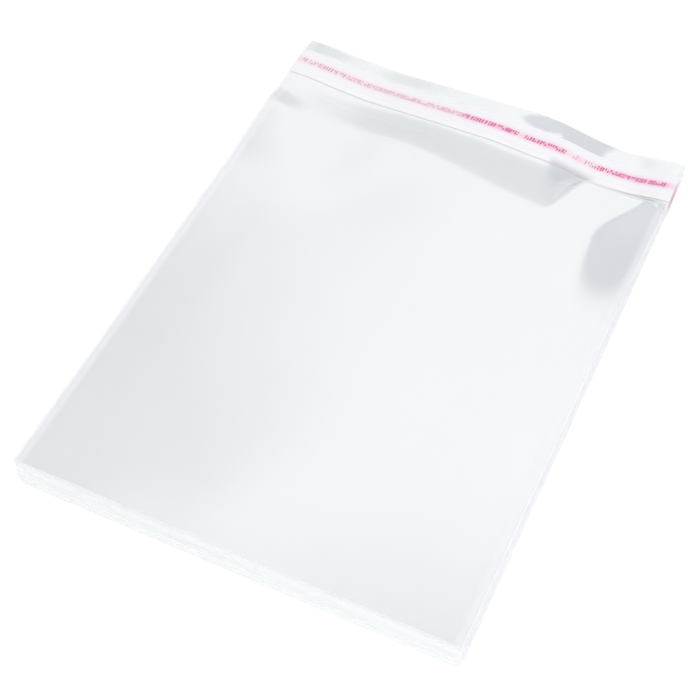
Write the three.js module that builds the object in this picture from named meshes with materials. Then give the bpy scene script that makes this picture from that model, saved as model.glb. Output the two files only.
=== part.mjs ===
// A squared-up pack of flat clear film bags, each with a self-seal flap, lying as it is sold.
// Millimetres, +Z up. The bottom folds face -Y and the flaps +Y. The origin is the centre of the underside.
import * as THREE from "three";

// One bag: a web of film folded at its bottom and welded along both sides
const bagWidth = 160;
const pocketLength = 196; // bottom fold to mouth
const filmThickness = 0.05;
const pocketGap = 0.1; // between the two panels of the top bag, which lies empty and flat
const weldWidth = 4;

// The seal on the flap, from the mouth outwards
const linerOffset = 9;
const linerWidth = 14;
const linerThickness = 0.03;
const dryEdgeWidth = 3; // liner with no glue under it, along each edge
const glueThickness = 0.025;
const lipLength = 7; // bare film past the liner

// The pack
const bagCount = 100;
const airPerBag = 0.04; // what a pocket and the space to the next bag hold
const layGap = 0.1; // between sheets that lie on each other
const leafCount = 9; // ridges along the edges, each one a sheaf of bags
const leafDepth = 0.5;

// Ripples across the flaps: place across the half width, then height as a share of the flap stack
const linerRipple = [
  [-1, 1.3], [-0.55, 1.02], [0.06, 1.1], [0.36, 0.96], [0.64, 0.63], [0.76, 0.64], [1, 0.9],
];
const lipRipple = [[-1, 1.2], [-0.5, 0.97], [-0.08, 1.07], [0.25, 1.16], [0.7, 0.64], [1, 0.9]];

// Where the pockets start to lean down to the flaps: place across, then length before the mouth,
// which is negative where the lean starts past it
const shoulderRipple = [[-1, -1], [-0.65, 11], [-0.42, 9], [0.48, 21], [0.62, -1], [1, -1]];
const shoulderRound = 0.25; // share of the lean that is rounded at each end

// How the pack has settled. Each run along the bag is two lengths before the mouth.
const crownRise = 1.8; // air that has gathered under the mouths
const crownX = 18;
const crownReach = 38;
const crownRun = [78, 23];
const hollowSink = 1.8; // beside the crown
const hollowX = -44;
const hollowReach = 16;
const hollowRun = [63, 11];
const ridgeRise = 1.5; // low ridge that slants in from the left edge
const ridgeFromMouth = 10.5;
const ridgeSlant = 14; // degrees
const ridgeLength = 26.8;
const ridgeNear = 32; // reach towards the bottom fold
const ridgeFar = 10.5; // reach towards the flap
const slumpSink = 4; // right edge
const slumpReach = 21;
const slumpRun = [65, 11];
const slumpTaper = 14; // how much narrower the slump gets
const taperRun = [23, -5];
const cornerRise = 0.8; // front left corner
const cornerReach = 60;
const edgeSink = 0.55; // left edge, where the pockets hold least air
const edgeReach = 26;

// Spacing of the grid lines that the sheets are built on
const columnStep = 8;
const pocketStep = 17;
const flapStep = 5.5;

const halfWidth = bagWidth / 2;
const weldX = halfWidth - weldWidth; // inside of the side welds
const flapLength = linerOffset + linerWidth + lipLength;
const bottomY = -(pocketLength + flapLength) / 2;
const foldY = bottomY + filmThickness; // inside of the bottom fold
const mouthY = bottomY + pocketLength;
const settledY = mouthY - crownRun[0]; // level pockets before this line
const linerStartY = mouthY + linerOffset;
const linerEndY = linerStartY + linerWidth;
const glueStartY = linerStartY + dryEdgeWidth;
const glueEndY = linerEndY - dryEdgeWidth;
const lipY = linerEndY + lipLength;

const blockBags = bagCount - 1;
const pocketHeight = blockBags * (2 * filmThickness + airPerBag);
const flapHeight = blockBags * (filmThickness + glueThickness + linerThickness);

const { clamp, degToRad, lerp, smoothstep } = THREE.MathUtils;

// Grid lines at every station, with even steps of at most the given length between them.
function gridLines(stations, step) {
  const lines = [stations[0]];
  for (let s = 1; s < stations.length; s++) {
    const from = stations[s - 1];
    const count = Math.ceil((stations[s] - from) / step);
    for (let n = 1; n <= count; n++) lines.push(lerp(from, stations[s], n / count));
  }
  return lines;
}

const columnLines = gridLines([-halfWidth, -weldX, weldX, halfWidth], columnStep);
const pocketLines = gridLines([bottomY, foldY, settledY], pocketStep);
const sealStations = [linerStartY, glueStartY, glueEndY, linerEndY];
const flapLines = gridLines([settledY, mouthY, ...sealStations, lipY], flapStep);
const rowLines = [...pocketLines, ...flapLines.slice(1)];

// Value of a ripple at a place across the half width, easing from each crest or dip to the next.
function rippleAt(ripple, across) {
  const next = Math.max(1, ripple.findIndex(([place]) => place >= across));
  const [fromPlace, fromShare] = ripple[next - 1];
  const [toPlace, toShare] = ripple[next];
  return lerp(fromShare, toShare, smoothstep(across, fromPlace, toPlace));
}

// Share of a lean that is done at a place: an even slope, rounded at its start and end.
function leanAt(y, startY, endY) {
  const along = clamp((y - startY) / (endY - startY), 0, 1);
  const near = Math.min(along, 1 - along);
  const eased = near < shoulderRound ? near ** 2 / (2 * shoulderRound) : near - shoulderRound / 2;
  const share = eased / (1 - shoulderRound);
  return along < 0.5 ? share : 1 - share;
}

const swell = (distance) => Math.exp(-(distance ** 2));
const runAt = ([from, to], y) => smoothstep(y, mouthY - from, mouthY - to);

// Share of the ridge's rise at a place, counted from where the ridge meets the left edge.
function ridgeAt(inward, onward) {
  const slant = degToRad(ridgeSlant);
  const along = inward * Math.cos(slant) - onward * Math.sin(slant);
  const across = inward * Math.sin(slant) + onward * Math.cos(slant);
  const reach = across > 0 ? ridgeFar : ridgeNear;
  return (1 - smoothstep(along, 0, ridgeLength)) * (1 - smoothstep(Math.abs(across), 0, reach));
}

// Top of the pockets: level, with the crown, hollow, ridge and slump near the mouths.
function pocketTop(x, y) {
  const fromLeft = x + halfWidth;
  const fromCorner = Math.hypot(fromLeft, y - bottomY);
  const slumpX = halfWidth - slumpReach + slumpTaper * runAt(taperRun, y);
  const raised = crownRise * swell((x - crownX) / crownReach) * runAt(crownRun, y)
    + ridgeRise * ridgeAt(fromLeft, y - mouthY + ridgeFromMouth)
    + cornerRise * (1 - smoothstep(fromCorner, 0, cornerReach));
  const sunk = hollowSink * swell((x - hollowX) / hollowReach) * runAt(hollowRun, y)
    + slumpSink * smoothstep(x, slumpX, halfWidth) * runAt(slumpRun, y)
    + edgeSink * (1 - smoothstep(fromLeft, 0, edgeReach));
  return pocketHeight + raised - sunk;
}

// Top of the ninety-nine bags below: the pockets, a shoulder down to the tapes, and the loose lips.
function blockTop(x, y) {
  const across = x / halfWidth;
  const tapes = flapHeight * rippleAt(linerRipple, across);
  const lips = flapHeight * rippleAt(lipRipple, across);
  const flaps = lerp(tapes, lips, smoothstep(y, linerEndY, lipY));
  const lean = leanAt(y, mouthY - rippleAt(shoulderRipple, across), linerStartY);
  return lerp(pocketTop(x, y), flaps, lean);
}

// A closed surface round the filled cells of a grid of columns, rows and layers.
function cellSolid([columns, rows, layers], isFilled, pointAt) {
  const points = [];
  const triangles = [];
  const known = new Map();
  const vertex = (i, j, k) => {
    const key = `${i} ${j} ${k}`;
    if (!known.has(key)) {
      known.set(key, known.size);
      points.push(...pointAt(i, j, k));
    }
    return known.get(key);
  };
  const filled = (i, j, k) => {
    const inside = Math.min(i, j, k) >= 0 && i < columns && j < rows && k < layers;
    return inside && isFilled(i, j, k);
  };
  const quad = (a, b, c, d) => triangles.push(a, b, c, a, c, d);
  const round = [[0, 0], [1, 0], [1, 1], [0, 1]];
  for (let i = 0; i < columns; i++) {
    for (let j = 0; j < rows; j++) {
      for (let k = 0; k < layers; k++) {
        if (!filled(i, j, k)) continue;
        const [a, b, c, d] = round.map(([di, dj]) => vertex(i + di, j + dj, k));
        const [e, f, g, h] = round.map(([di, dj]) => vertex(i + di, j + dj, k + 1));
        if (!filled(i, j, k + 1)) quad(e, f, g, h);
        if (!filled(i, j, k - 1)) quad(a, d, c, b);
        if (!filled(i, j - 1, k)) quad(a, b, f, e);
        if (!filled(i, j + 1, k)) quad(c, d, h, g);
        if (!filled(i - 1, j, k)) quad(d, a, e, h);
        if (!filled(i + 1, j, k)) quad(b, c, g, f);
      }
    }
  }
  const geometry = new THREE.BufferGeometry();
  geometry.setAttribute("position", new THREE.Float32BufferAttribute(points, 3));
  geometry.setIndex(triangles);
  geometry.computeVertexNormals();
  return geometry;
}

function sheetMaterial(color, roughness, opacity) {
  const transparent = opacity < 1;
  return new THREE.MeshStandardMaterial({ color, roughness, metalness: 0, opacity, transparent });
}

// The bags below the top one: leaves that step in and out along all four edges.
function bagBlock() {
  const lines = rowLines.filter((y) => y !== foldY);
  const layers = 2 * leafCount;
  const pointAt = (i, j, k) => {
    const inset = (k % 2) * leafDepth;
    const x = clamp(columnLines[i], inset - halfWidth, halfWidth - inset);
    const y = clamp(lines[j], bottomY + inset, lipY - inset);
    return [x, y, blockTop(columnLines[i], lines[j]) * k / layers];
  };
  return cellSolid([columnLines.length - 1, lines.length - 1, layers], () => true, pointAt);
}

// A thin sheet of the rows between two lines, over the top of the block.
function flatSheet(fromY, toY, thickness) {
  const lines = rowLines.filter((y) => y >= fromY && y <= toY);
  const pointAt = (i, j, k) => {
    const x = columnLines[i];
    const y = lines[j];
    return [x, y, blockTop(x, y) + k * thickness];
  };
  return cellSolid([columnLines.length - 1, lines.length - 1, 1], () => true, pointAt);
}

// The top bag: back panel with its flap, pocket and front panel, closed by the bottom fold and the welds.
function topBag() {
  const levels = [0, filmThickness, filmThickness + pocketGap, 2 * filmThickness + pocketGap];
  const columns = columnLines.length - 1;
  const rows = rowLines.length - 1;
  const pocketLayer = 1;
  const isFilled = (i, j, k) => {
    if (k === 0) return true;
    const belowMouth = rowLines[j + 1] <= mouthY;
    const atFold = rowLines[j + 1] <= foldY;
    const atWeld = columnLines[i + 1] <= -weldX || columnLines[i] >= weldX;
    return belowMouth && (k !== pocketLayer || atFold || atWeld);
  };
  const pointAt = (i, j, k) => {
    const x = columnLines[i];
    const y = rowLines[j];
    return [x, y, blockTop(x, y) + levels[k]];
  };
  return cellSolid([columns, rows, levels.length - 1], isFilled, pointAt);
}

function named(name, geometry, material, lift) {
  const mesh = new THREE.Mesh(geometry, material);
  mesh.name = name;
  mesh.position.z = lift;
  return mesh;
}

const pack = new THREE.Group();
pack.add(named("bag_block", bagBlock(), sheetMaterial(0xedf1f3, 0.25, 1), 0));

// The top bag lies on the block, and its seal lies on its flap.
const uppermost = new THREE.Group();
uppermost.position.z = layGap;
uppermost.add(named("top_bag", topBag(), sheetMaterial(0xf4f8fa, 0.08, 0.4), 0));
const glueLift = filmThickness + layGap;
const linerLift = glueLift + glueThickness + layGap;
const glue = flatSheet(glueStartY, glueEndY, glueThickness);
const liner = flatSheet(linerStartY, linerEndY, linerThickness);
uppermost.add(named("glue_line", glue, sheetMaterial(0xf6f3f1, 0.5, 1), glueLift));
uppermost.add(named("release_liner", liner, sheetMaterial(0xf7e4ea, 0.2, 0.8), linerLift));
pack.add(uppermost);

export default pack;
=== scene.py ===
import bpy
import math
import random
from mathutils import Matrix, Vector, noise


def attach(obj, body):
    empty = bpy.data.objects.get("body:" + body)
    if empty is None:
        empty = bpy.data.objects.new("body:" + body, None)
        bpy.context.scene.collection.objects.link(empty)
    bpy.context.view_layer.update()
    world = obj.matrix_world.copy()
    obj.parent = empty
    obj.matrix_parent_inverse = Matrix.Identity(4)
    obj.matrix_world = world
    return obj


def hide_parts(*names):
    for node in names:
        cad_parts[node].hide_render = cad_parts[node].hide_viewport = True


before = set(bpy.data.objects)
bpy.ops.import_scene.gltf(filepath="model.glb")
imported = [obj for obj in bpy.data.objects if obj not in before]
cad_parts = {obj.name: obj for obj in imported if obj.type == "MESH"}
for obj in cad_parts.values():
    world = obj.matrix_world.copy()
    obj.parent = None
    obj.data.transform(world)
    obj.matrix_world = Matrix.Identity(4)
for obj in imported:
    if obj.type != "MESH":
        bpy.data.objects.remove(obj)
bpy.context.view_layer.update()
mm = 0.001
onEdge = 0.01  # a point this near to an edge, in millimetres, lies on it

# How the pack lies, in millimetres, as the CAD has it. Ripples: place across the half width, then share.
pack = {
    "halfWidth": 80.0,
    "bottomY": -113.0,
    "mouthY": 83.0,
    "linerY": (92.0, 106.0),
    "lipY": 113.0,
    "weldX": 76.0,
    "pocketHeight": 13.86,
    "flapHeight": 10.395,
    "crown": {"rise": 1.8, "x": 18.0, "reach": 38.0, "y": (5.0, 60.0)},  # air under the mouth
    "hollow": {"sink": 1.8, "x": -44.0, "reach": 16.0, "y": (20.0, 72.0)},
    "ridge": {"rise": 1.5, "y": 72.5, "slant": 14.0, "length": 26.8,  # from the left edge inwards
              "near": 32.0, "far": 10.5},
    "slump": {"sink": 4.0, "x": 59.0, "y": (18.0, 72.0)},  # the right edge, towards the flaps
    "taper": {"width": 14.0, "y": (60.0, 88.0)},  # the slump narrows towards the mouth
    "cornerRise": 0.8,  # front left
    "cornerReach": 60.0,
    "sideSink": 0.55,  # left edge
    "sideReach": 26.0,
    "linerRipple": [
        [-1, 1.3], [-0.55, 1.02], [0.06, 1.1], [0.36, 0.96], [0.64, 0.63], [0.76, 0.64], [1, 0.9]],
    "lipRipple": [[-1, 1.2], [-0.5, 0.97], [-0.08, 1.07], [0.25, 1.16], [0.7, 0.64], [1, 0.9]],
    "lipEase": 1.0,  # the lips' ripple sets in this far inside the tape
    "shoulderRipple": [[-1, 84], [-0.65, 72], [-0.42, 74], [0.48, 62], [0.62, 84], [1, 84]],
    "shoulderRound": 0.25,
}
grid = {"wide": 2.0, "close": 1.0, "closeFromX": 30.0, "closeFromY": 57.0}


def ease(value, low, high):
    t = min(max((value - low) / (high - low), 0.0), 1.0)
    return t * t * (3 - 2 * t)


def swell(t):
    return math.exp(-t * t)


def rippleAt(ripple, across):
    for (fromPlace, fromShare), (toPlace, toShare) in zip(ripple, ripple[1:]):
        if across <= toPlace:
            return fromShare + (toShare - fromShare) * ease(across, fromPlace, toPlace)
    return ripple[-1][1]


def leanAt(y, start):
    # an even slope down to the tapes, rounded at its start and end
    along = min(max((y - start) / (pack["linerY"][0] - start), 0.0), 1.0)
    near, rounded = min(along, 1 - along), pack["shoulderRound"]
    eased = near * near / (2 * rounded) if near < rounded else near - rounded / 2
    share = eased / (1 - rounded)
    return share if along < 0.5 else 1 - share


def packTop(x, y):
    place = x / pack["halfWidth"]
    crown, hollow, ridge = pack["crown"], pack["hollow"], pack["ridge"]
    slump, taper = pack["slump"], pack["taper"]
    fromCorner = math.hypot(x + pack["halfWidth"], y - pack["bottomY"])
    pockets = pack["pocketHeight"]
    pockets += crown["rise"] * swell((x - crown["x"]) / crown["reach"]) * ease(y, *crown["y"])
    pockets -= hollow["sink"] * swell((x - hollow["x"]) / hollow["reach"]) * ease(y, *hollow["y"])
    slant = math.radians(ridge["slant"])
    inX, upY = x + pack["halfWidth"], y - ridge["y"]
    along = inX * math.cos(slant) - upY * math.sin(slant)
    across = inX * math.sin(slant) + upY * math.cos(slant)
    reach = ridge["far"] if across > 0 else ridge["near"]
    pockets += ridge["rise"] * (1 - ease(along, 0, ridge["length"])) * (1 - ease(abs(across), 0, reach))
    slumpX = slump["x"] + taper["width"] * ease(y, *taper["y"])
    pockets -= slump["sink"] * ease(x, slumpX, pack["halfWidth"]) * ease(y, *slump["y"])
    pockets += pack["cornerRise"] * (1 - ease(fromCorner, 0, pack["cornerReach"]))
    pockets -= pack["sideSink"] * (1 - ease(x + pack["halfWidth"], 0, pack["sideReach"]))
    tapes = pack["flapHeight"] * rippleAt(pack["linerRipple"], place)
    lips = pack["flapHeight"] * rippleAt(pack["lipRipple"], place)
    toLips = ease(y, pack["linerY"][1] - pack["lipEase"], pack["lipY"] + pack["lipEase"])
    flaps = tapes + (lips - tapes) * toLips
    lean = leanAt(y, rippleAt(pack["shoulderRipple"], place))
    return pockets + (flaps - pockets) * lean


def lines(stations, step):
    found = [stations[0]]
    for low, high in zip(stations, stations[1:]):
        count = max(1, round((high - low) / step))
        found += [low + (high - low) * n / count for n in range(1, count + 1)]
    return found


# lines along and across the bags, closer together where the pack bends
bagColumns = lines([-pack["halfWidth"], -pack["weldX"], grid["closeFromX"]], grid["wide"])
bagColumns += lines([grid["closeFromX"], pack["weldX"], pack["halfWidth"]], grid["close"])[1:]
bagLines = lines([pack["bottomY"], grid["closeFromY"]], grid["wide"])
bagLines += lines([grid["closeFromY"], pack["mouthY"], *pack["linerY"], pack["lipY"]], grid["close"])[1:]


def hexColor(code):
    parts = [int(code[i:i + 2], 16) / 255 for i in (1, 3, 5)]
    return [c / 12.92 if c <= 0.04045 else ((c + 0.055) / 1.055) ** 2.4 for c in parts] + [1.0]


def addNode(tree, kind, settings=None, inputs=None):
    made = tree.nodes.new(kind)
    for name, value in (settings or {}).items():
        setattr(made, name, value)
    for name, value in (inputs or {}).items():
        socket = made.inputs[name]
        if isinstance(value, bpy.types.NodeSocket):
            tree.links.new(value, socket)
        else:
            socket.default_value = value
    return made


def newMaterial(name):
    material = bpy.data.materials.new(name)
    material.use_nodes = True
    tree = material.node_tree
    return material, tree, tree.nodes["Principled BSDF"]


def addGrid(name, xLines, yLines):
    bpy.ops.object.select_all(action="DESELECT")
    bpy.ops.mesh.primitive_grid_add(
        x_subdivisions=len(xLines) - 1, y_subdivisions=len(yLines) - 1, size=1)
    piece = bpy.context.active_object
    piece.name = piece.data.name = name
    for vertex in piece.data.vertices:
        row, column = divmod(vertex.index, len(xLines))
        vertex.co = (xLines[column] * mm, yLines[row] * mm, 0)
    return piece


def finishPiece(piece, material, angle):
    bpy.ops.object.select_all(action="DESELECT")
    piece.select_set(True)
    bpy.context.view_layer.objects.active = piece
    for modifier in list(piece.modifiers):
        bpy.ops.object.modifier_apply(modifier=modifier.name)
    bpy.ops.object.shade_smooth_by_angle(angle=math.radians(angle))
    piece.data.materials.clear()
    piece.data.materials.append(material)
    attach(piece, "root")


def thicken(piece, thickness):
    solidify = piece.modifiers.new("film", "SOLIDIFY")
    solidify.thickness = thickness * mm
    solidify.offset = 0


def wobble(x, y, z, seed):
    return noise.noise(Vector((x, y, z + 17.3 * seed)))  # each seed reads its own layer of the noise


# The ninety-nine bags below: one skin over sheaves that step in and out along the edges
stack = {
    "sheafCount": 28,
    "sheafThickness": (0.5, 1.5),  # thinnest and thickest, as shares of an even one
    "faceShare": 0.72,  # how much of a sheaf is its upright face
    "creviceShare": 0.14,  # and how far above the next sheaf the crevice is deepest
    "crevice": 0.14,
    "edgeScatter": 0.22,
    "lipScatter": 1.1,
    "topScatter": 0.25,  # the top sheaf's share of the scatter
    "edgeWaver": 0.06,
    "layerWaver": 0.12,
    "weldCrinkle": 0.03,
    "weldHaze": (75.5, 78.5),  # where the welds and cut edges turn white, outwards from the middle
    "cutHaze": (79.0, 79.5),
    "foldHaze": (-112.3, -112.8),
    "tapeY": 99.0,
    "tapeFade": (8.0, 3.0),  # how far from its middle the pink of the tapes fades
    "tapeEnds": (79.0, 79.3),
    "tapeUnder": (0.2, 0.05),
    "seed": 4,
}


def bagStack():
    chance = random.Random(stack["seed"])
    half, weld = pack["halfWidth"], pack["weldX"]
    piece = addGrid("stacked_bags", bagColumns, bagLines)

    # each sheaf is an upper lip, a lower lip and the crevice under it, extruded a millimetre a ring
    thickness = [chance.uniform(*stack["sheafThickness"]) for _ in range(stack["sheafCount"])]
    rings = [(0, 0, False)]
    depth = 0
    for sheaf, share in enumerate(thickness):
        share /= sum(thickness)
        rings.append((depth + share * stack["faceShare"], sheaf, False))
        depth += share
        if sheaf < stack["sheafCount"] - 1:
            rings.append((depth - share * stack["creviceShare"], sheaf, True))
            rings.append((depth, sheaf + 1, False))
    rings[-1] = (1, stack["sheafCount"] - 1, False)
    bpy.ops.object.mode_set(mode="EDIT")
    bpy.ops.mesh.select_all(action="SELECT")
    bpy.ops.mesh.region_to_loop()
    for _ in rings[1:]:
        bpy.ops.mesh.extrude_region_move(TRANSFORM_OT_translate={"value": (0, 0, -mm)})
    bpy.ops.mesh.edge_face_add()
    bpy.ops.object.mode_set(mode="OBJECT")

    inset = {}
    for sheaf in range(stack["sheafCount"]):
        spread = stack["topScatter"] if sheaf == 0 else 1
        inset[sheaf] = {
            "left": chance.uniform(0, stack["edgeScatter"]) * spread,
            "right": chance.uniform(0, stack["edgeScatter"]) * spread,
            "front": chance.uniform(0, stack["edgeScatter"]) * spread,
            "back": chance.uniform(0, stack["lipScatter"]) * spread,
        }
    for vertex in piece.data.vertices:
        x, y = vertex.co.x / mm, vertex.co.y / mm
        level = round(-vertex.co.z / mm)
        share, sheaf, creviced = rings[level]
        height = packTop(x, y)
        atWeld = max(0, abs(x) - weld) / (half - weld)
        if level == 0:
            height += stack["weldCrinkle"] * atWeld * wobble(x * 0.9, y * 0.55, 0, 1)
        back = stack["crevice"] if creviced else 0
        sideways = stack["edgeWaver"] * wobble(x * 0.03, y * 0.03, sheaf * 0.7, 2)
        newX, newY = x, y
        if abs(x) > half - onEdge:
            newX = math.copysign(half - inset[sheaf]["right" if x > 0 else "left"] - back - sideways, x)
        if y < pack["bottomY"] + onEdge:
            newY = pack["bottomY"] + inset[sheaf]["front"] + back + sideways
        if y > pack["lipY"] - onEdge:
            newY = pack["lipY"] - inset[sheaf]["back"] - back - sideways * 2
        lift = 0
        if 0 < share < 1:
            lift = stack["layerWaver"] * wobble(x * 0.02, y * 0.02, sheaf * 0.9, 3)
        vertex.co = (newX * mm, newY * mm, max(0, height * (1 - share) + lift) * mm)
    finishPiece(piece, stackedFilm(), 45)
    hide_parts("bag_block")
    print("stacked bags:", len(piece.data.polygons), "faces")


def stackedFilm():
    # Cast polypropylene film, a hundred bags deep: each film sends back some light, so the pile looks
    # white with a silvery gloss. The metallic share stands for the mirror of the many films together.
    material, tree, shader = newMaterial("polypropylene_film_stacked")
    place = addNode(tree, "ShaderNodeTexCoord").outputs["Object"]
    axes = addNode(tree, "ShaderNodeSeparateXYZ", None, {"Vector": place})
    cloud = addNode(tree, "ShaderNodeTexNoise", None, {
        "Vector": place, "Scale": 1 / (60 * mm), "Detail": 2.0})
    tone = addNode(tree, "ShaderNodeMix", {"data_type": "RGBA"}, {
        "Factor": cloud.outputs["Fac"], "A": hexColor("#f6f8f6"), "B": hexColor("#f9fbf9")})
    # the welds and the cut edges scatter the light: whiter and less of a mirror
    outX = addNode(tree, "ShaderNodeMath", {"operation": "ABSOLUTE"}, {0: axes.outputs["X"]})
    haze = {}
    for name, along, most in (("weldHaze", outX.outputs[0], 0.4), ("cutHaze", outX.outputs[0], 0.75),
                              ("foldHaze", axes.outputs["Y"], 1.0)):
        start, end = stack[name]
        haze[name] = addNode(tree, "ShaderNodeMapRange", {"interpolation_type": "SMOOTHSTEP"}, {
            "Value": along, "From Min": start * mm, "From Max": end * mm, "To Max": most}).outputs[0]
    sides = addNode(tree, "ShaderNodeMath", {"operation": "MAXIMUM"}, {
        0: haze["weldHaze"], 1: haze["cutHaze"]})
    edge = addNode(tree, "ShaderNodeMath", {"operation": "MAXIMUM"}, {
        0: sides.outputs[0], 1: haze["foldHaze"]})
    mirror = addNode(tree, "ShaderNodeMapRange", None, {
        "Value": edge.outputs[0], "To Min": 0.4, "To Max": 0.1})
    matt = addNode(tree, "ShaderNodeMapRange", None, {
        "Value": edge.outputs[0], "To Min": 0.1, "To Max": 0.4})
    white = addNode(tree, "ShaderNodeMix", {"data_type": "RGBA"}, {
        "Factor": sides.outputs[0], "A": tone.outputs["Result"], "B": hexColor("#fdfdfc")})
    # the ends of the stacked tapes show pink along the sides of the flaps, and the lowest tape underneath
    fromTape = addNode(tree, "ShaderNodeMath", {"operation": "SUBTRACT"}, {
        0: axes.outputs["Y"], 1: stack["tapeY"] * mm})
    farTape = addNode(tree, "ShaderNodeMath", {"operation": "ABSOLUTE"}, {0: fromTape.outputs[0]})
    fade, ends, under = stack["tapeFade"], stack["tapeEnds"], stack["tapeUnder"]
    tapeBand = addNode(tree, "ShaderNodeMapRange", {"interpolation_type": "SMOOTHSTEP"}, {
        "Value": farTape.outputs[0], "From Min": fade[0] * mm, "From Max": fade[1] * mm})
    atSide = addNode(tree, "ShaderNodeMapRange", None, {
        "Value": outX.outputs[0], "From Min": ends[0] * mm, "From Max": ends[1] * mm})
    beneath = addNode(tree, "ShaderNodeMapRange", None, {
        "Value": axes.outputs["Z"], "From Min": under[0] * mm, "From Max": under[1] * mm, "To Max": 0.4})
    bare = addNode(tree, "ShaderNodeMath", {"operation": "MAXIMUM"}, {
        0: atSide.outputs[0], 1: beneath.outputs[0]})
    pink = addNode(tree, "ShaderNodeMath", {"operation": "MULTIPLY"}, {
        0: tapeBand.outputs[0], 1: bare.outputs[0]})
    tint = addNode(tree, "ShaderNodeMix", {"data_type": "RGBA"}, {
        "Factor": pink.outputs[0], "A": white.outputs["Result"], "B": hexColor("#e6c9d2")})
    tree.links.new(tint.outputs["Result"], shader.inputs["Base Color"])
    tree.links.new(mirror.outputs[0], shader.inputs["Metallic"])
    tree.links.new(matt.outputs[0], shader.inputs["Roughness"])
    shader.inputs["IOR"].default_value = 1.49
    return material


# The top bag: one web of film from the lip, down the back, round the bottom fold and up to the mouth
topBag = {
    "film": 0.05,
    "lay": 0.1,
    "turn": 0.02,  # half of the web that turns at the fold
    "weldGap": 0.07,
    "pocketGap": 0.28,
    "openReach": 25.0,  # from the welds and the fold to where the pocket is fully open
    "mouthLift": 0.15,
    "mouthShare": 0.6,  # of the lift, before it wobbles
    "mouthDepth": 18.0,
    "mouthReach": 20.0,
    "bridge": {  # the film spans the crease at the shoulder
        "lift": 0.2, "at": (47.5, 79.5), "reach": 12.0, "y": (86.0, 91.5)},
}


def clearBag():
    weld = pack["weldX"]
    backLength = pack["lipY"] - pack["bottomY"]
    backLines = [pack["lipY"] - y for y in reversed(bagLines[1:])]
    atFold = [backLength - topBag["turn"], backLength + topBag["turn"]]
    frontLines = [backLength + y - pack["bottomY"] for y in bagLines[1:] if y <= pack["mouthY"]]
    piece = addGrid("clear_bag", bagColumns, backLines + atFold + frontLines)
    bottom = topBag["lay"] + topBag["film"] / 2
    bridge, reach, mouth = topBag["bridge"], topBag["openReach"], pack["mouthY"]
    for vertex in piece.data.vertices:
        x, along = vertex.co.x / mm, vertex.co.y / mm
        front = along > backLength
        y = pack["bottomY"] + along - backLength if front else pack["lipY"] - along
        fromCrease = math.hypot(x - bridge["at"][0], y - bridge["at"][1])
        lift = bottom + bridge["lift"] * swell(fromCrease / bridge["reach"]) * (1 - ease(y, *bridge["y"]))
        if front:
            opened = ease(weld - abs(x), 0, reach) * ease(y - pack["bottomY"], 0, reach)
            gap = topBag["weldGap"] + (topBag["pocketGap"] - topBag["weldGap"]) * opened
            atMouth = ease(y, mouth - topBag["mouthDepth"], mouth)
            atMouth *= ease(weld - abs(x), 0, topBag["mouthReach"])
            gap += topBag["mouthLift"] * atMouth * (topBag["mouthShare"] + wobble(x * 0.05, 0, 0, 5))
            lift += gap
        vertex.co = (x * mm, y * mm, (packTop(x, y) + lift) * mm)
    thicken(piece, topBag["film"])
    finishPiece(piece, clearFilm(), 50)
    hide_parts("top_bag")
    print("top bag:", len(piece.data.polygons), "faces")
    return piece


def clearFilm():
    # The same film as a single layer: clear, very smooth, with a faint cold tint.
    material, tree, shader = newMaterial("polypropylene_film_clear")
    place = addNode(tree, "ShaderNodeTexCoord").outputs["Object"]
    cloud = addNode(tree, "ShaderNodeTexNoise", None, {
        "Vector": place, "Scale": 1 / (25 * mm), "Detail": 3.0})
    tone = addNode(tree, "ShaderNodeMix", {"data_type": "RGBA"}, {
        "Factor": cloud.outputs["Fac"], "A": hexColor("#f3f6f8"), "B": hexColor("#fbfcfd")})
    tree.links.new(tone.outputs["Result"], shader.inputs["Base Color"])
    shader.inputs["Roughness"].default_value = 0.05
    shader.inputs["IOR"].default_value = 1.49
    shader.inputs["Alpha"].default_value = 0.03
    return material


def flapStrip(name, yRange, step, lift, waver):
    piece = addGrid(name, bagColumns, lines(list(yRange), step))
    middle = sum(yRange) / 2
    for vertex in piece.data.vertices:
        x, y = vertex.co.x / mm, vertex.co.y / mm
        outward = abs(y - middle) * 2 / (yRange[1] - yRange[0])
        y += waver * wobble(x * 0.08, math.copysign(3, y - middle), 0, 6) * outward
        vertex.co = (x * mm, y * mm, (packTop(x, y) + lift) * mm)
    return piece


# The seal on the flap: a line of glue, with a little air above and below it
glueSeal = {"y": (95.0, 103.0), "step": 1.0, "thick": 0.025, "lay": 0.03, "edgeWaver": 0.5}


def glueLine():
    lift = topBag["lay"] + topBag["film"] + glueSeal["lay"]
    piece = flapStrip("glue_line_seal", glueSeal["y"], glueSeal["step"], lift, glueSeal["edgeWaver"])
    thicken(piece, glueSeal["thick"])
    material, tree, shader = newMaterial("acrylic_glue")  # water-clear glue, a little cloudy
    place = addNode(tree, "ShaderNodeTexCoord").outputs["Object"]
    cloud = addNode(tree, "ShaderNodeTexNoise", None, {
        "Vector": place, "Scale": 1 / (3 * mm), "Detail": 3.0})
    tone = addNode(tree, "ShaderNodeMix", {"data_type": "RGBA"}, {
        "Factor": cloud.outputs["Fac"], "A": hexColor("#f3efee"), "B": hexColor("#fbf9f8")})
    tree.links.new(tone.outputs["Result"], shader.inputs["Base Color"])
    shader.inputs["Roughness"].default_value = 0.4
    shader.inputs["IOR"].default_value = 1.47
    finishPiece(piece, material, 50)
    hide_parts("glue_line")
    print("glue line:", len(piece.data.polygons), "faces")
    return piece


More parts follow.
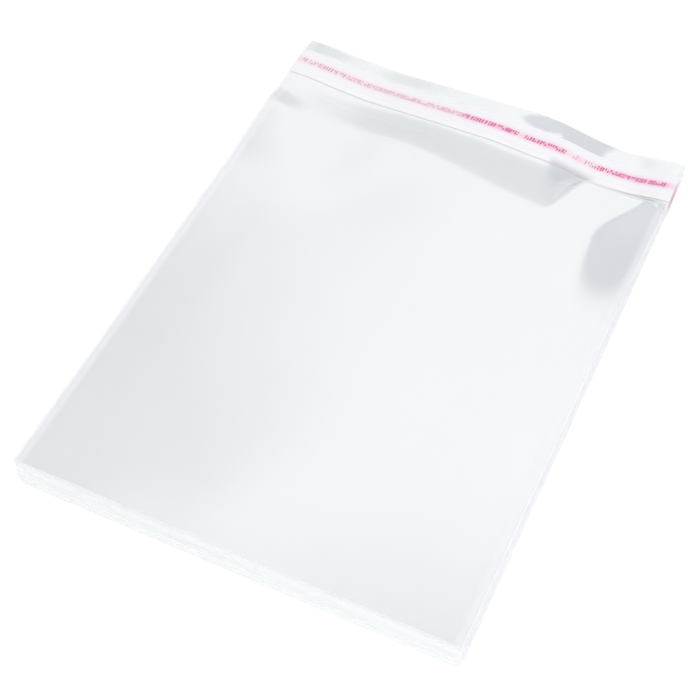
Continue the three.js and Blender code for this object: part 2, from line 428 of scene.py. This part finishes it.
# The liner tape over the glue. Its edges stand past the glue and lie lower.
linerTape = {
    "step": 0.7,
    "thick": 0.03,
    "edgeWaver": 0.15,
    "dryEdge": 2.8,
    "dryDrop": 0.06,
    "dryGloss": (4.5, 0.2),  # from the lower edge, where the gloss of the pile begins and is full
    "blushReach": 1.7,
    "blush": {"all": 0.33, "bold": 0.36, "wobble": 0.25},
}


def linerLift():
    return topBag["lay"] + topBag["film"] + glueSeal["thick"] + 2 * glueSeal["lay"]


def releaseLiner():
    waver, share = linerTape["edgeWaver"], linerTape["blush"]
    piece = flapStrip("liner_tape", pack["linerY"], linerTape["step"], linerLift(), waver)
    blush = piece.data.attributes.new("blush", "FLOAT", "POINT")
    low, high = pack["linerY"]
    for vertex in piece.data.vertices:
        x, y = vertex.co.x / mm, vertex.co.y / mm
        fromEdge = min(y - low, high - y)
        vertex.co.z -= linerTape["dryDrop"] * mm * (1 - ease(fromEdge, 0, linerTape["dryEdge"]))
        nearMarks = swell((y - printMarks["y"]) / linerTape["blushReach"])
        pinkness = share["all"] + share["bold"] * boldAt(x) + share["wobble"] * wobble(x * 0.3, 0, 0, 4)
        blush.data[vertex.index].value = nearMarks * pinkness
    thicken(piece, linerTape["thick"])
    finishPiece(piece, linerFilm(), 50)
    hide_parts("release_liner")
    print("liner:", len(piece.data.polygons), "faces")
    return piece


def linerFilm():
    # White siliconed polyethylene tape: matt over the glue, with a pink blush round its marks. Its dry
    # lower edge lies on the bag and takes the gloss of the pile under it.
    material, tree, shader = newMaterial("siliconed_liner_film")
    place = addNode(tree, "ShaderNodeTexCoord").outputs["Object"]
    axes = addNode(tree, "ShaderNodeSeparateXYZ", None, {"Vector": place})
    blush = addNode(tree, "ShaderNodeAttribute", {"attribute_name": "blush"})
    tint = addNode(tree, "ShaderNodeMix", {"data_type": "RGBA"}, {
        "Factor": blush.outputs["Fac"], "A": hexColor("#f9f8f8"), "B": hexColor("#ff9fc8")})
    tree.links.new(tint.outputs["Result"], shader.inputs["Base Color"])
    low = pack["linerY"][0]
    start, full = linerTape["dryGloss"]
    dry = addNode(tree, "ShaderNodeMapRange", {"interpolation_type": "SMOOTHSTEP"}, {
        "Value": axes.outputs["Y"], "From Min": (low + start) * mm, "From Max": (low + full) * mm})
    mirror = addNode(tree, "ShaderNodeMapRange", None, {
        "Value": dry.outputs[0], "To Min": 0.0, "To Max": 0.4})
    matt = addNode(tree, "ShaderNodeMapRange", None, {
        "Value": dry.outputs[0], "To Min": 0.35, "To Max": 0.1})
    tree.links.new(mirror.outputs[0], shader.inputs["Metallic"])
    tree.links.new(matt.outputs[0], shader.inputs["Roughness"])
    shader.inputs["IOR"].default_value = 1.5
    return material


# The row of pink marks on the tape: slanted dashes of uneven height
printMarks = {
    "y": 100.0,
    "height": 2.2,
    "cell": 0.15,
    "lift": 0.045,
    "ink": 0.01,
    "stripMargin": 1.5,
    "margin": 2.5,
    "lastRoom": 1.5,
    "slant": 0.15,
    "thick": {"all": 0.17, "bold": 0.09},
    "pitch": (0.85, 1.2),
    "pause": 0.6,
    "pauseChance": 0.06,
    "kinds": [[(-1, 1)], [(-1, 1)], [(-1, -0.2)], [(0.2, 1)], [(-1, -0.5), (0.5, 1)]],  # foot and head
    "gaps": [(16.0, 18.5), (36.0, 38.5), (41.0, 44.0)],
    "bold": [(-7.0, 15.0), (20.0, 35.0), (49.0, 77.0)],
    "seed": 9,
}


def boldAt(x):
    return max(ease(x, low - 3, low + 1) * (1 - ease(x, high - 1, high + 2))
               for low, high in printMarks["bold"])


def markStrokes():
    chance = random.Random(printMarks["seed"])
    half, slant = pack["halfWidth"] - printMarks["margin"], printMarks["slant"]
    found = []
    x = -half
    while x < half - printMarks["lastRoom"]:
        inGap = any(low <= x <= high for low, high in printMarks["gaps"])
        kind = chance.choice(printMarks["kinds"])
        if not inGap:
            thick = printMarks["thick"]["all"] + printMarks["thick"]["bold"] * boldAt(x)
            for foot, head in kind:
                found.append(((x + slant * foot, foot), (x + slant * head, head), thick))
        pitch = chance.uniform(*printMarks["pitch"])
        x += pitch + (printMarks["pause"] if chance.random() < printMarks["pauseChance"] else 0)
    return found


def strokeDistance(x, y, start, end):
    (x0, y0), (x1, y1) = start, end
    length = (x1 - x0) ** 2 + (y1 - y0) ** 2
    along = min(max(((x - x0) * (x1 - x0) + (y - y0) * (y1 - y0)) / length, 0), 1) if length else 0
    return math.hypot(x - x0 - along * (x1 - x0), y - y0 - along * (y1 - y0))


def linerMarks():
    # a strip of small cells, of which the ones without ink are deleted
    half, cell = pack["halfWidth"] - printMarks["stripMargin"], printMarks["cell"]
    tall, middle = printMarks["height"] / 2, printMarks["y"]
    xLines = lines([-half, half], cell)
    piece = addGrid("liner_marks", xLines, lines([middle - tall, middle + tall], cell))
    inky = {}
    for (x0, y0), (x1, y1), thick in markStrokes():
        low, high = min(x0, x1) - thick, max(x0, x1) + thick
        reach = tall - thick
        stroke = ((x0, middle + y0 * reach), (x1, middle + y1 * reach), thick)
        for column in range(int(low // 1), int(high // 1) + 1):
            inky.setdefault(column, []).append(stroke)
    inked = set()
    for face in piece.data.polygons:
        x, y = face.center.x / mm, face.center.y / mm
        near = inky.get(int(x // 1), [])
        if any(strokeDistance(x, y, start, end) < thick for start, end, thick in near):
            row, column = divmod(face.index, len(xLines) - 1)
            inked.add((column, row))
    count = 0
    while count < len(inked):  # cells that touch only at a corner are joined
        count = len(inked)
        for column, row in sorted(inked):
            for beside in (column - 1, column + 1):
                between = {(beside, row), (column, row + 1)}
                if (beside, row + 1) in inked and not between & inked:
                    inked.add((column, row + 1))
    piece.data.vertices.foreach_set("select", [False] * len(piece.data.vertices))
    piece.data.edges.foreach_set("select", [False] * len(piece.data.edges))
    for face in piece.data.polygons:
        row, column = divmod(face.index, len(xLines) - 1)
        face.select = (column, row) not in inked
    bpy.context.tool_settings.mesh_select_mode = (False, False, True)
    bpy.ops.object.mode_set(mode="EDIT")
    bpy.ops.mesh.delete(type="FACE")
    bpy.ops.object.mode_set(mode="OBJECT")
    lift = linerLift() + linerTape["thick"] / 2 + printMarks["lift"]
    strength = piece.data.attributes.new("strength", "FLOAT", "POINT")
    for vertex in piece.data.vertices:
        x, y = vertex.co.x / mm, vertex.co.y / mm
        vertex.co.z = (packTop(x, y) + lift) * mm
        strength.data[vertex.index].value = boldAt(x)
    thicken(piece, printMarks["ink"])
    # thin pink ink, greyer where it has not taken well
    material, tree, shader = newMaterial("pink_print_ink")
    taken = addNode(tree, "ShaderNodeAttribute", {"attribute_name": "strength"})
    tone = addNode(tree, "ShaderNodeMix", {"data_type": "RGBA"}, {
        "Factor": taken.outputs["Fac"], "A": hexColor("#c88aa9"), "B": hexColor("#c94c8a")})
    tree.links.new(tone.outputs["Result"], shader.inputs["Base Color"])
    shader.inputs["Roughness"].default_value = 0.4
    finishPiece(piece, material, 50)
    print("liner marks:", len(piece.data.polygons), "faces")
    return piece


bagStack()
clearPouch = clearBag()
glue = glueLine()
liner = releaseLiner()
marks = linerMarks()

# White floor: it keeps the pack's soft shadow and is white for the camera and in reflections
studio = {
    "floorSize": 6.0,
    "floorDrop": 0.0002,
    "floorGlow": 1.08,
    "glowShare": 0.75,
    "lamps": [
        {"name": "soft_lamp", "power": 11.2, "size": 1.1, "place": (0.45, -0.7, 1.5)},
        {"name": "side_fill", "power": 7.3, "size": 1.4, "place": (1.6, -0.2, 0.55)},
    ],
}

# The room that the film mirrors: a broad window of light behind the flaps, a grey gap between it and the
# floor. Each step goes over a range of degrees, up or to the side, from one level of light to another.
room = {
    "darkTone": "#989aa9",
    "windowTone": "#ffffff",
    "patchSlant": 0.21,
    "screenLevel": 0.05,
    "steps": {
        "ahead": ("side", 5, -8, 0, 1),  # the window ends just right of straight ahead
        "farRight": ("side", 75, 95, 0, 1),  # and comes again far to the right
        "aboveSill": ("height", 31.3, 41.3, 0, 1),
        "left": ("side", -21, -41, 0, 0.63),  # it is duller to the left
        "leftFoot": ("height", 43, 48, 0, 1),
        "leftEnd": ("side", -120, -90, 0, 1),
        "underPatch": ("slant", 52.0, 50.4, 0, 1),  # but for a slanted patch high up
        "overhead": ("height", 58.0, 63.5, 1.0, 0.66),
        "gap": ("side", -5, 4, 0.5, 0.0),  # the grey gap is darker to the right
        "floorLine": ("height", 5, 0, 0, 1),
        "screenFoot": ("height", 63, 67, 0, 1),  # a dark screen hangs high up behind the flaps
        "screenHead": ("height", 82, 76, 0, 1),
        "screenLeft": ("side", -45, -30, 0, 1),
        "screenRight": ("side", 40, 20, 0, 1),
    },
    "joins": [
        ("beside", "MAXIMUM", "ahead", "farRight"),
        ("window", "MULTIPLY", "aboveSill", "beside"),
        ("leftWall", "MULTIPLY", "left", "leftFoot"),
        ("leftPart", "MULTIPLY", "leftWall", "leftEnd"),
        ("leftDim", "MULTIPLY", "leftPart", "underPatch"),
        ("bright", "SUBTRACT", "overhead", "leftDim"),
        ("screenTall", "MULTIPLY", "screenFoot", "screenHead"),
        ("screenWide", "MULTIPLY", "screenLeft", "screenRight"),
        ("screen", "MULTIPLY", "screenTall", "screenWide"),
    ],
}


def studioFloor():
    bpy.ops.object.select_all(action="DESELECT")
    bpy.ops.mesh.primitive_plane_add(size=studio["floorSize"], location=(0, 0, -studio["floorDrop"]))
    floor = bpy.context.active_object
    floor.name = "studio_floor"
    material = bpy.data.materials.new("white_paper_floor")
    material.use_nodes = True
    tree = material.node_tree
    tree.nodes.clear()
    path = addNode(tree, "ShaderNodeLightPath")
    paper = addNode(tree, "ShaderNodeBsdfDiffuse", None, {"Color": hexColor("#f2f2f2")})
    glow = addNode(tree, "ShaderNodeEmission", None, {
        "Color": (1, 1, 1, 1), "Strength": studio["floorGlow"]})
    seen = addNode(tree, "ShaderNodeMath", {"operation": "MAXIMUM"}, {
        0: path.outputs["Is Camera Ray"], 1: path.outputs["Is Glossy Ray"]})
    part = addNode(tree, "ShaderNodeMath", {"operation": "MULTIPLY"}, {
        0: seen.outputs[0], 1: studio["glowShare"]})
    mixed = addNode(tree, "ShaderNodeMixShader", None, {
        0: part.outputs[0], 1: paper.outputs[0], 2: glow.outputs[0]})
    addNode(tree, "ShaderNodeOutputMaterial", None, {"Surface": mixed.outputs[0]})
    floor.data.materials.append(material)


def studioWorld():
    world = bpy.data.worlds.new("studio_room")
    bpy.context.scene.world = world
    world.use_nodes = True
    tree = world.node_tree
    tree.nodes.clear()
    way = addNode(tree, "ShaderNodeTexCoord").outputs["Generated"]
    axes = addNode(tree, "ShaderNodeSeparateXYZ", None, {"Vector": way})
    rise = addNode(tree, "ShaderNodeMath", {"operation": "ARCSINE"}, {0: axes.outputs["Z"]})
    height = addNode(tree, "ShaderNodeMath", {"operation": "DEGREES"}, {0: rise.outputs[0]})
    turn = addNode(tree, "ShaderNodeMath", {"operation": "ARCTAN2"}, {
        0: axes.outputs["X"], 1: axes.outputs["Y"]})
    side = addNode(tree, "ShaderNodeMath", {"operation": "DEGREES"}, {0: turn.outputs[0]})
    leaning = addNode(tree, "ShaderNodeMath", {"operation": "MULTIPLY"}, {
        0: side.outputs[0], 1: room["patchSlant"]})
    slant = addNode(tree, "ShaderNodeMath", {"operation": "ADD"}, {
        0: height.outputs[0], 1: leaning.outputs[0]})
    levels = {"height": height.outputs[0], "side": side.outputs[0], "slant": slant.outputs[0]}
    for name, (source, low, high, fromLevel, toLevel) in room["steps"].items():
        levels[name] = addNode(tree, "ShaderNodeMapRange", {"interpolation_type": "SMOOTHSTEP"}, {
            "Value": levels[source], "From Min": low, "From Max": high,
            "To Min": fromLevel, "To Max": toLevel}).outputs[0]
    for name, operation, first, second in room["joins"]:
        levels[name] = addNode(tree, "ShaderNodeMath", {"operation": operation}, {
            0: levels[first], 1: levels[second]}).outputs[0]
    lit = addNode(tree, "ShaderNodeMapRange", None, {
        "Value": levels["window"], "To Min": levels["gap"], "To Max": levels["bright"]})
    overFloor = addNode(tree, "ShaderNodeMath", {"operation": "MAXIMUM"}, {
        0: lit.outputs[0], 1: levels["floorLine"]})
    level = addNode(tree, "ShaderNodeMapRange", None, {
        "Value": levels["screen"], "To Min": overFloor.outputs[0], "To Max": room["screenLevel"]})
    tone = addNode(tree, "ShaderNodeMix", {"data_type": "RGBA"}, {
        "Factor": level.outputs[0], "A": hexColor(room["darkTone"]), "B": hexColor(room["windowTone"])})
    path = addNode(tree, "ShaderNodeLightPath")
    shown = addNode(tree, "ShaderNodeMix", {"data_type": "RGBA"}, {
        "Factor": path.outputs["Is Camera Ray"], "A": tone.outputs["Result"], "B": (1, 1, 1, 1)})
    light = addNode(tree, "ShaderNodeBackground", None, {
        "Color": shown.outputs["Result"], "Strength": 1.0})
    addNode(tree, "ShaderNodeOutputWorld", None, {"Surface": light.outputs[0]})


def studioLamps():
    for lampPlan in studio["lamps"]:
        bpy.ops.object.light_add(type="AREA", location=lampPlan["place"])
        lamp = bpy.context.active_object
        lamp.name = lampPlan["name"]
        lamp.data.size = lampPlan["size"]
        lamp.data.energy = lampPlan["power"]
        lamp.visible_glossy = False  # the film mirrors the room, with no glare of the lamps
        lamp.rotation_euler = (-Vector(lampPlan["place"])).to_track_quat("-Z", "Y").to_euler()


studioFloor()
studioWorld()
studioLamps()
print("studio: floor, room and lamps")

# The photograph's view: from the front right, looking down
view = {"turn": 24.97, "rise": 53.42, "distance": 541.0, "target": (-3.0, -15.7, 0.0), "lens": 77.6}
turn, rise = math.radians(view["turn"]), math.radians(view["rise"])
away = Vector((math.sin(turn) * math.cos(rise), -math.cos(turn) * math.cos(rise), math.sin(rise)))
bpy.ops.object.camera_add(location=(Vector(view["target"]) + away * view["distance"]) * mm)
camera = bpy.context.active_object
camera.name = "photo_view"
camera.rotation_euler = (-away).to_track_quat("-Z", "Y").to_euler()
camera.data.lens = view["lens"]
camera.data.sensor_width = 36
bpy.context.scene.camera = camera
bpy.context.scene.view_settings.view_transform = "Standard"
bpy.context.scene.cycles.transparent_max_bounces = 32  # light passes the top bag's film faces twice
